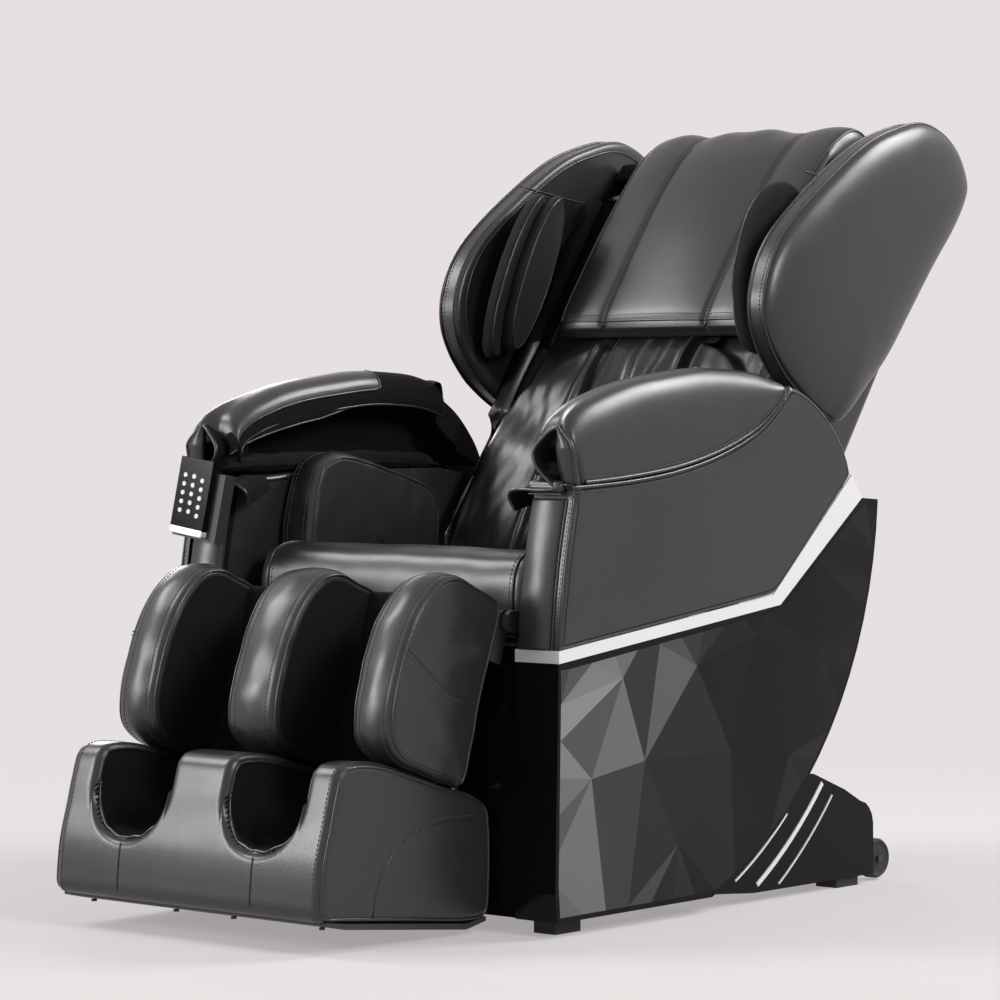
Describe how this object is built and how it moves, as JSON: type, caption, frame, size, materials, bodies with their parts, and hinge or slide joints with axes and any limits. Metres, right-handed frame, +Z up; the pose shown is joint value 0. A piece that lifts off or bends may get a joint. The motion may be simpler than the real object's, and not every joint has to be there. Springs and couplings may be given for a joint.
{
  "type": "massage chair",
  "caption": "Black leather massage chair with arm channels under padded hoods, head wings, a reclining back with rollers, a lifting leg rest with a foot box, and a handset.",
  "frame": {"origin": "on the floor, mid-way between the toe of the foot box and the crown of the head wings, on the centre plane", "axes": "+Z up; the chair faces -Y; +X is the sitter's left"},
  "size_m": [0.74, 1.3856, 1.1525],
  "materials": {
    "black_leather": "satin grained leather with a soft sheen",
    "black_fabric": "matte stretch fabric",
    "gloss_black": "high gloss moulding",
    "matte_black": "fine texture",
    "silver_trim": "silver paint",
    "frame_steel": "black powder coat",
    "bright_steel": "drawn and zinc plated",
    "rubber": "moulded rubber",
    "wheel_rubber": "moulded tread",
    "plywood": "bare plywood",
    "roller_plastic": "nylon",
    "switch_red": "gloss",
    "key_white": "satin keys"
  },
  "bodies": {
    "base": {"base_frame": "frame_steel", "seat_board": "plywood", "floor_feet": "rubber", "rear_cover_left": "gloss_black", "rear_cover_right": "gloss_black", "rear_cover_trims": "silver_trim", "power_box": "matte_black", "side_panel_left": "gloss_black", "side_panel_right": "gloss_black", "side_trims": "silver_trim", "arm_cover_left": "black_leather", "arm_cover_right": "black_leather", "arm_hood_left": "black_leather", "arm_hood_right": "black_leather", "arm_fronts": "black_leather", "front_cover": "gloss_black", "arm_linings": "black_fabric", "hip_pad_left": "black_leather", "hip_pad_right": "black_leather", "seat_cushion": "black_leather", "handset_holder": "matte_black"},
    "wheel_left": {"wheel_left": "wheel_rubber"},
    "wheel_right": {"wheel_right": "wheel_rubber"},
    "power_switch": {"power_switch": "switch_red"},
    "handset": {"handset": "matte_black"},
    "backrest": {"back_frame": "frame_steel", "back_shell": "black_leather", "back_pad": "black_leather", "wing_left": "black_leather", "wing_right": "black_leather", "wing_air_pads": "black_fabric"},
    "head_pillow": {"head_pillow": "black_leather"},
    "carriage": {"massage_carriage": "matte_black"},
    "kneading_shaft": {"kneading_shaft": "bright_steel"},
    "massage_arms": {"massage_arms": "roller_plastic"},
    "back_actuator": {"back_actuator": "matte_black"},
    "back_actuator_rod": {"back_actuator_rod": "bright_steel"},
    "leg_rest": {"leg_frame": "frame_steel", "calf_rest": "black_leather"},
    "foot_rest": {"foot_slide": "bright_steel", "foot_box": "black_leather", "sole_screws": "bright_steel"},
    "sole_rollers": {"sole_rollers": "roller_plastic"},
    "leg_actuator": {"leg_actuator": "matte_black"},
    "leg_actuator_rod": {"leg_actuator_rod": "bright_steel"},
    "key_11": {"key_11": "key_white"},
    "key_12": {"key_12": "key_white"},
    "key_13": {"key_13": "key_white"},
    "key_14": {"key_14": "key_white"},
    "key_15": {"key_15": "key_white"},
    "key_21": {"key_21": "key_white"},
    "key_22": {"key_22": "key_white"},
    "key_23": {"key_23": "key_white"},
    "key_24": {"key_24": "key_white"},
    "key_25": {"key_25": "key_white"},
    "key_31": {"key_31": "key_white"},
    "key_32": {"key_32": "key_white"},
    "key_33": {"key_33": "key_white"},
    "key_34": {"key_34": "key_white"},
    "key_35": {"key_35": "key_white"}
  },
  "joints": [
    {"name": "backrest_recline", "type": "hinge", "parent": "base", "child": "backrest", "pos_m": [0, 0.15, 0.47], "axis": [-1, 0, 0], "range_deg": [0, 45]},
    {"name": "back_actuator_swing", "type": "hinge", "parent": "base", "child": "back_actuator", "pos_m": [0, -0.225, 0.235], "axis": [1, 0, 0], "range_deg": [-1, 5]},
    {"name": "back_actuator_stroke", "type": "slide", "parent": "back_actuator", "child": "back_actuator_rod", "axis": [0, 0.9611, 0.2762], "range_m": [-0.096, 0.0005]},
    {"name": "carriage_travel", "type": "slide", "parent": "backrest", "child": "carriage", "axis": [0, 0.5736, 0.8191], "range_m": [0, 0.4]},
    {"name": "kneading_spin", "type": "hinge", "parent": "carriage", "child": "kneading_shaft", "pos_m": [0, 0.25406, 0.60467], "axis": [1, 0, 0], "continuous": true},
    {"name": "massage_arm_rock", "type": "hinge", "parent": "carriage", "child": "massage_arms", "pos_m": [0, 0.25406, 0.60467], "axis": [1, 0, 0], "range_deg": [-6, 6]},
    {"name": "pillow_flip", "type": "hinge", "parent": "backrest", "child": "head_pillow", "pos_m": [0, 0.65588, 1.06432], "axis": [-1, 0, 0], "range_deg": [0, 115]},
    {"name": "leg_rest_lift", "type": "hinge", "parent": "base", "child": "leg_rest", "pos_m": [0, -0.33, 0.425], "axis": [-1, 0, 0], "range_deg": [0, 68]},
    {"name": "leg_actuator_swing", "type": "hinge", "parent": "base", "child": "leg_actuator", "pos_m": [0, 0.02, 0.2], "axis": [1, 0, 0], "range_deg": [-1, 4]},
    {"name": "leg_actuator_stroke", "type": "slide", "parent": "leg_actuator", "child": "leg_actuator_rod", "axis": [0, -0.9214, 0.3887], "range_m": [-0.0005, 0.107]},
    {"name": "foot_rest_extend", "type": "slide", "parent": "leg_rest", "child": "foot_rest", "axis": [0, -0.309, -0.9511], "range_m": [0, 0.12], "stiffness_N_per_m": 1500, "springref_m": -0.14},
    {"name": "sole_roller_spin", "type": "hinge", "parent": "foot_rest", "child": "sole_rollers", "pos_m": [0, -0.542, 0.092], "axis": [1, 0, 0], "continuous": true},
    {"name": "wheel_left_spin", "type": "hinge", "parent": "base", "child": "wheel_left", "pos_m": [0.32, 0.453, 0.033], "axis": [1, 0, 0], "continuous": true},
    {"name": "wheel_right_spin", "type": "hinge", "parent": "base", "child": "wheel_right", "pos_m": [-0.32, 0.453, 0.033], "axis": [1, 0, 0], "continuous": true},
    {"name": "power_switch_rock", "type": "hinge", "parent": "base", "child": "power_switch", "pos_m": [-0.0525, 0.427, 0.1], "axis": [1, 0, 0], "range_deg": [0, 12]},
    {"name": "handset_lift", "type": "slide", "parent": "base", "child": "handset", "axis": [0.1384, 0.1045, 0.9848], "range_m": [0, 0.14]},
    {"name": "key_11_press", "type": "slide", "parent": "handset", "child": "key_11", "axis": [-0.0146, 0.9945, -0.1035], "range_m": [0, 0.0012], "stiffness_N_per_m": 300, "springref_m": -0.0015},
    {"name": "key_12_press", "type": "slide", "parent": "handset", "child": "key_12", "axis": [-0.0146, 0.9945, -0.1035], "range_m": [0, 0.0012], "stiffness_N_per_m": 300, "springref_m": -0.0015},
    {"name": "key_13_press", "type": "slide", "parent": "handset", "child": "key_13", "axis": [-0.0146, 0.9945, -0.1035], "range_m": [0, 0.0012], "stiffness_N_per_m": 300, "springref_m": -0.0015},
    {"name": "key_14_press", "type": "slide", "parent": "handset", "child": "key_14", "axis": [-0.0146, 0.9945, -0.1035], "range_m": [0, 0.0012], "stiffness_N_per_m": 300, "springref_m": -0.0015},
    {"name": "key_15_press", "type": "slide", "parent": "handset", "child": "key_15", "axis": [-0.0146, 0.9945, -0.1035], "range_m": [0, 0.0012], "stiffness_N_per_m": 300, "springref_m": -0.0015},
    {"name": "key_21_press", "type": "slide", "parent": "handset", "child": "key_21", "axis": [-0.0146, 0.9945, -0.1035], "range_m": [0, 0.0012], "stiffness_N_per_m": 300, "springref_m": -0.0015},
    {"name": "key_22_press", "type": "slide", "parent": "handset", "child": "key_22", "axis": [-0.0146, 0.9945, -0.1035], "range_m": [0, 0.0012], "stiffness_N_per_m": 300, "springref_m": -0.0015},
    {"name": "key_23_press", "type": "slide", "parent": "handset", "child": "key_23", "axis": [-0.0146, 0.9945, -0.1035], "range_m": [0, 0.0012], "stiffness_N_per_m": 300, "springref_m": -0.0015},
    {"name": "key_24_press", "type": "slide", "parent": "handset", "child": "key_24", "axis": [-0.0146, 0.9945, -0.1035], "range_m": [0, 0.0012], "stiffness_N_per_m": 300, "springref_m": -0.0015},
    {"name": "key_25_press", "type": "slide", "parent": "handset", "child": "key_25", "axis": [-0.0146, 0.9945, -0.1035], "range_m": [0, 0.0012], "stiffness_N_per_m": 300, "springref_m": -0.0015},
    {"name": "key_31_press", "type": "slide", "parent": "handset", "child": "key_31", "axis": [-0.0146, 0.9945, -0.1035], "range_m": [0, 0.0012], "stiffness_N_per_m": 300, "springref_m": -0.0015},
    {"name": "key_32_press", "type": "slide", "parent": "handset", "child": "key_32", "axis": [-0.0146, 0.9945, -0.1035], "range_m": [0, 0.0012], "stiffness_N_per_m": 300, "springref_m": -0.0015},
    {"name": "key_33_press", "type": "slide", "parent": "handset", "child": "key_33", "axis": [-0.0146, 0.9945, -0.1035], "range_m": [0, 0.0012], "stiffness_N_per_m": 300, "springref_m": -0.0015},
    {"name": "key_34_press", "type": "slide", "parent": "handset", "child": "key_34", "axis": [-0.0146, 0.9945, -0.1035], "range_m": [0, 0.0012], "stiffness_N_per_m": 300, "springref_m": -0.0015},
    {"name": "key_35_press", "type": "slide", "parent": "handset", "child": "key_35", "axis": [-0.0146, 0.9945, -0.1035], "range_m": [0, 0.0012], "stiffness_N_per_m": 300, "springref_m": -0.0015}
  ],
  "couplings": [
    {"joint": "back_actuator_swing", "follows": "backrest_recline", "ratio": 0.0587},
    {"joint": "back_actuator_stroke", "follows": "backrest_recline", "m_per_rad": -0.11979},
    {"joint": "leg_actuator_swing", "follows": "leg_rest_lift", "ratio": 0.0251},
    {"joint": "leg_actuator_stroke", "follows": "leg_rest_lift", "m_per_rad": 0.088841}
  ]
}
